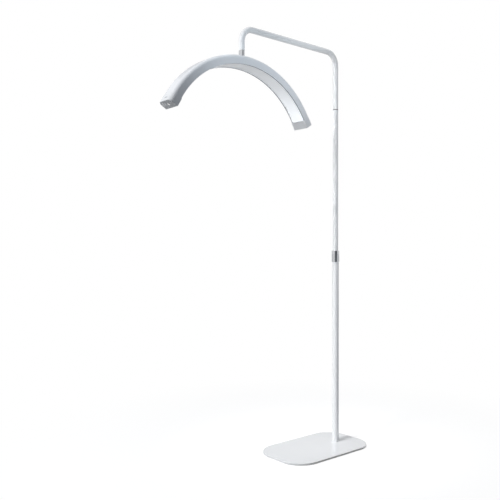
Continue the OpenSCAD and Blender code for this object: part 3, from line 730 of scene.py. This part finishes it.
class LAMP_OT_inlet(bpy.types.Operator):
    """Round the power inlet's rim and finish its pin and nut"""

    bl_idname = "lamp.inlet"
    bl_label = "Power Inlet"

    def execute(self, context):
        shapes = context.scene.lamp_shapes
        bm = merged_copy("dc_jack")
        round_rim(bm, end_directions(-1)[0], shapes.rim_edge, shapes.rim_steps)
        new_piece("rounded_inlet", bm, "lamp", "bright_metal", "dc_jack")
        dress("pin_brass", "jack_pin")
        dress("zinc_steel", "jack_nut")
        return {"FINISHED"}


# Studio

def aim(thing, spot, target):
    """Places a camera, light or card and turns its -Z side to a target."""
    thing.location = spot
    thing.rotation_euler = (Vector(target) - Vector(spot)).to_track_quat("-Z", "Y").to_euler()


def soft_light(name, spot, target, size, watts, colour=WHITE, spread=180.0):
    """Soft rectangular light that neither the camera nor a mirror sees; spread in degrees."""
    data = bpy.data.lights.new(name, "AREA")
    data.shape = "RECTANGLE"
    data.size, data.size_y = size
    data.energy = watts
    data.color = colour
    data.spread = math.radians(spread)
    light = bpy.data.objects.new(name, data)
    bpy.context.scene.collection.objects.link(light)
    light.visible_camera = False
    light.visible_glossy = False
    aim(light, spot, target)
    return light


def keep_to(light, *pieces):
    """Lets a light fall on the given pieces only."""
    light.light_linking.receiver_collection = bpy.data.collections.new(light.name + "_pieces")
    for piece in pieces:
        light.light_linking.receiver_collection.objects.link(piece)


def stage_plane(name, size):
    """Flat stage piece of a width and a height."""
    bm = bmesh.new()
    bmesh.ops.create_grid(bm, x_segments=1, y_segments=1, size=0.5)
    bmesh.ops.scale(bm, vec=(*size, 1.0), verts=bm.verts)
    mesh = bpy.data.meshes.new(name)
    bm.to_mesh(mesh)
    bm.free()
    plane = bpy.data.objects.new(name, mesh)
    bpy.context.scene.collection.objects.link(plane)
    return plane


def glowing(name, level):
    """Material of an even brightness."""
    material = bpy.data.materials.new(name)
    material.use_nodes = True
    shader = material.node_tree.nodes["Principled BSDF"]
    shader.inputs["Base Color"].default_value = (0.0, 0.0, 0.0, 1.0)
    shader.inputs["Specular IOR Level"].default_value = 0.0
    shader.inputs["Emission Color"].default_value = (*WHITE, 1.0)
    shader.inputs["Emission Strength"].default_value = level
    return material


def hang_card(name, size, spot, target, material):
    """Card that only shows where it is mirrored."""
    card = stage_plane(name, size)
    aim(card, spot, target)
    card.visible_camera = False
    card.visible_diffuse = False
    card.visible_shadow = False
    card.data.materials.append(material)
    return card


def mirror_rays(tree):
    """1 for rays from the camera, a mirror or glass, else 0."""
    rays = tree.nodes.new("ShaderNodeLightPath")
    total = rays.outputs["Is Camera Ray"]
    for name in ("Is Glossy Ray", "Is Transmission Ray"):
        node = tree.nodes.new("ShaderNodeMath")
        node.operation = "MAXIMUM"
        tree.links.new(total, node.inputs[0])
        tree.links.new(rays.outputs[name], node.inputs[1])
        total = node.outputs[0]
    return total


class LAMP_OT_stage(bpy.types.Operator):
    """Set up the camera, the lights, the floor and the white surroundings"""

    bl_idname = "lamp.stage"
    bl_label = "Studio"

    def execute(self, context):
        studio = context.scene.lamp_studio
        context.scene.view_settings.view_transform = "Standard"
        self.add_camera(context.scene, studio)
        self.add_lights(studio, self.add_floor(studio))
        self.add_cards(studio)
        self.add_foot_flag(studio)
        self.add_surroundings(context.scene, studio)
        return {"FINISHED"}

    @staticmethod
    def add_camera(scene, studio):
        """Level camera at waist height, turned to the lamp."""
        data = bpy.data.cameras.new("camera")
        data.lens = studio.lens
        data.sensor_width = studio.sensor
        data.shift_y = studio.drop
        camera = bpy.data.objects.new("camera", data)
        camera.location = studio.eye
        camera.rotation_euler = (math.radians(90.0), 0.0, studio.turn)
        scene.collection.objects.link(camera)
        scene.camera = camera

    @staticmethod
    def add_lights(studio, floor):
        """Key high on the left, large light overhead and small ones at the head, arm, poles and foot."""
        nodes = frame["nodes"]
        soft_light(
            "key", spot=(-3.0, 0.5, 3.05), target=(-0.2, 0.0, 1.2), size=(2.0, 0.6), watts=studio.key_power,
        )
        soft_light(
            "top", spot=(-0.2, 0.0, 8.0), target=(-0.2, 0.0, 0.0), size=(6.0, 6.0), watts=studio.top_power,
        )
        soft_light(
            "fill", spot=(-0.36, -0.5, 1.62), target=(-0.34, 0.0, 1.62), size=(0.7, 0.3),
            watts=studio.fill_power, colour=studio.cool, spread=50.0,
        )
        glow = soft_light(
            "glow", spot=(-0.82, -0.08, 0.71), target=(-0.08, 0.0, 1.43), size=(0.3, 0.3),
            watts=studio.glow_power, spread=42.0,
        )
        keep_to(glow, bpy.data.objects["prism_diffuser"])
        side = soft_light(
            "side", spot=(-1.3, 0.9, 1.25), target=(0.13, 0.0, 1.25), size=(0.2, 1.4),
            watts=studio.side_power,
        )
        keep_to(side, nodes["upper_pole"], nodes["arm_tube"])
        low = soft_light(
            "low", spot=(-1.3, -0.1, 1.8), target=(0.20, 0.02, 0.0), size=(0.4, 0.4),
            watts=studio.low_power, spread=40.0,
        )
        keep_to(low, floor, nodes["base_plate"], nodes["base_pad"], nodes["lower_pole"])
        soft_light(
            "strip", spot=(-1.4, -1.25, 1.3), target=(0.13, 0.0, 1.3), size=(0.2, 1.3),
            watts=studio.strip_power, spread=20.0,
        )
        soft_light(
            "arm", spot=(-0.28, -0.6, 1.35), target=(-0.28, 0.0, 1.79), size=(0.7, 0.05),
            watts=studio.arm_power, colour=studio.cool, spread=24.0,
        )

    @staticmethod
    def add_cards(studio):
        """Grey cards that the collar and the stem mirror, and pale ones that the foot and the head mirror."""
        grey = bpy.data.materials.new("card_grey")
        grey.use_nodes = True
        shader = grey.node_tree.nodes["Principled BSDF"]
        shader.inputs["Base Color"].default_value = (*studio.card, 1.0)
        shader.inputs["Roughness"].default_value = 1.0
        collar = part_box("lock_collar")[0]
        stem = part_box("swivel_stem")[0]
        hang_card(
            "collar_card", size=(3.4, 1.2), spot=(-0.9, -1.85, 0.85), target=(collar.x, 0.0, 0.85),
            material=grey,
        )
        hang_card(
            "stem_card", size=(1.4, 0.8), spot=(-0.26, -1.59, 2.15), target=(stem.x, 0.0, 2.15),
            material=grey,
        )
        hang_card(
            "foot_card", size=(3.6, 0.75), spot=(1.4, 1.45, 0.66), target=(0.0, 0.0, 0.66),
            material=glowing("foot_card", studio.foot_card),
        )
        hang_card(
            "head_card", size=(2.0, 1.5), spot=(0.9, 2.4, 2.9), target=(-0.66, 0.0, 1.6),
            material=glowing("head_card", studio.head_card),
        )

    @staticmethod
    def add_foot_flag(studio):
        """Black strip that keeps bounced light off the foot's front edge."""
        low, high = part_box("base_plate")
        middle_x = (low.x + high.x) / 2
        middle_z = studio.flag_height / 2
        flag = hang_card(
            "foot_flag", size=(high.x - low.x, studio.flag_height),
            spot=(middle_x, low.y - studio.flag_gap, middle_z), target=(middle_x, 0.0, middle_z),
            material=glowing("flag_black", 0.0),
        )
        flag.visible_diffuse = True
        flag.visible_glossy = False

    @staticmethod
    def add_floor(studio):
        """White floor that keeps the lamp's shadow."""
        floor = stage_plane("floor", (studio.floor_size, studio.floor_size))
        material = bpy.data.materials.new("floor_white")
        material.use_nodes = True
        tree = material.node_tree
        tree.nodes.clear()
        shaded = tree.nodes.new("ShaderNodeBsdfDiffuse")
        glow = tree.nodes.new("ShaderNodeEmission")
        together = tree.nodes.new("ShaderNodeAddShader")
        white = tree.nodes.new("ShaderNodeEmission")
        seen = tree.nodes.new("ShaderNodeMixShader")
        lit = tree.nodes.new("ShaderNodeBsdfDiffuse")
        choice = tree.nodes.new("ShaderNodeMixShader")
        output = tree.nodes.new("ShaderNodeOutputMaterial")
        shaded.inputs["Color"].default_value = (*[studio.shadow] * 3, 1.0)
        glow.inputs["Strength"].default_value = 1.0 - studio.shadow * studio.floor_light
        lit.inputs["Color"].default_value = (*[studio.bounce] * 3, 1.0)
        tree.links.new(shaded.outputs[0], together.inputs[0])
        tree.links.new(glow.outputs[0], together.inputs[1])
        tree.links.new(LAMP_OT_stage.far_from_foot(tree, studio), seen.inputs["Fac"])
        tree.links.new(together.outputs[0], seen.inputs[1])
        tree.links.new(white.outputs[0], seen.inputs[2])
        tree.links.new(mirror_rays(tree), choice.inputs["Fac"])
        tree.links.new(lit.outputs[0], choice.inputs[1])
        tree.links.new(seen.outputs[0], choice.inputs[2])
        tree.links.new(choice.outputs[0], output.inputs["Surface"])
        # Only the camera and mirrors see the floor's glow, so it is not sampled as a light
        material.cycles.emission_sampling = "NONE"
        floor.data.materials.append(material)
        return floor

    @staticmethod
    def far_from_foot(tree, studio):
        """0 on the floor near the foot, rising to 1 away from it."""
        coordinates = tree.nodes.new("ShaderNodeTexCoord")
        distance = tree.nodes.new("ShaderNodeVectorMath")
        distance.operation = "LENGTH"
        fade = tree.nodes.new("ShaderNodeMapRange")
        fade.interpolation_type = "SMOOTHSTEP"
        fade.inputs["From Min"].default_value = studio.shadow_near
        fade.inputs["From Max"].default_value = studio.shadow_far
        tree.links.new(coordinates.outputs["Object"], distance.inputs[0])
        tree.links.new(distance.outputs["Value"], fade.inputs["Value"])
        return fade.outputs["Result"]

    @staticmethod
    def add_surroundings(scene, studio):
        """White to the camera and to mirrors, a dim cool ambient to everything else."""
        world = bpy.data.worlds.new("white_room")
        world.use_nodes = True
        tree = world.node_tree
        ambient = tree.nodes["Background"]
        ambient.inputs["Color"].default_value = (*studio.ambient, 1.0)
        white = tree.nodes.new("ShaderNodeBackground")
        white.inputs["Color"].default_value = (*WHITE, 1.0)
        choice = tree.nodes.new("ShaderNodeMixShader")
        tree.links.new(mirror_rays(tree), choice.inputs["Fac"])
        tree.links.new(ambient.outputs[0], choice.inputs[1])
        tree.links.new(white.outputs[0], choice.inputs[2])
        tree.links.new(choice.outputs[0], tree.nodes["World Output"].inputs["Surface"])
        scene.world = world


# The studio comes last, because it keeps a light to the modelled diffuser
STEPS = (
    LAMP_OT_foot, LAMP_OT_poles, LAMP_OT_clamp, LAMP_OT_arm, LAMP_OT_swivel, LAMP_OT_housing,
    LAMP_OT_diffuser, LAMP_OT_gap_shade, LAMP_OT_light_boards, LAMP_OT_end_caps, LAMP_OT_controls,
    LAMP_OT_inlet, LAMP_OT_stage,
)


class LAMP_PT_tools(bpy.types.Panel):
    """Buttons that dress the lamp piece by piece"""

    bl_idname = "LAMP_PT_tools"
    bl_label = "Half-Moon Floor Lamp"
    bl_space_type = "VIEW_3D"
    bl_region_type = "UI"
    bl_category = "Lamp"

    def draw(self, context):
        for step in STEPS:
            self.layout.operator(step.bl_idname)


GROUPS = {"lamp_shapes": LampShapes, "lamp_finishes": LampFinishes, "lamp_studio": LampStudio}
CLASSES = (*GROUPS.values(), *STEPS, LAMP_PT_tools)


def register():
    for cls in CLASSES:
        bpy.utils.register_class(cls)
    for name, group in GROUPS.items():
        setattr(bpy.types.Scene, name, PointerProperty(type=group))


def unregister():
    for name in GROUPS:
        delattr(bpy.types.Scene, name)
    for cls in reversed(CLASSES):
        bpy.utils.unregister_class(cls)


def main():
    register()
    for step in STEPS:
        family, action = step.bl_idname.split(".")
        getattr(getattr(bpy.ops, family), action)()


if __name__ == "__main__":
    main()
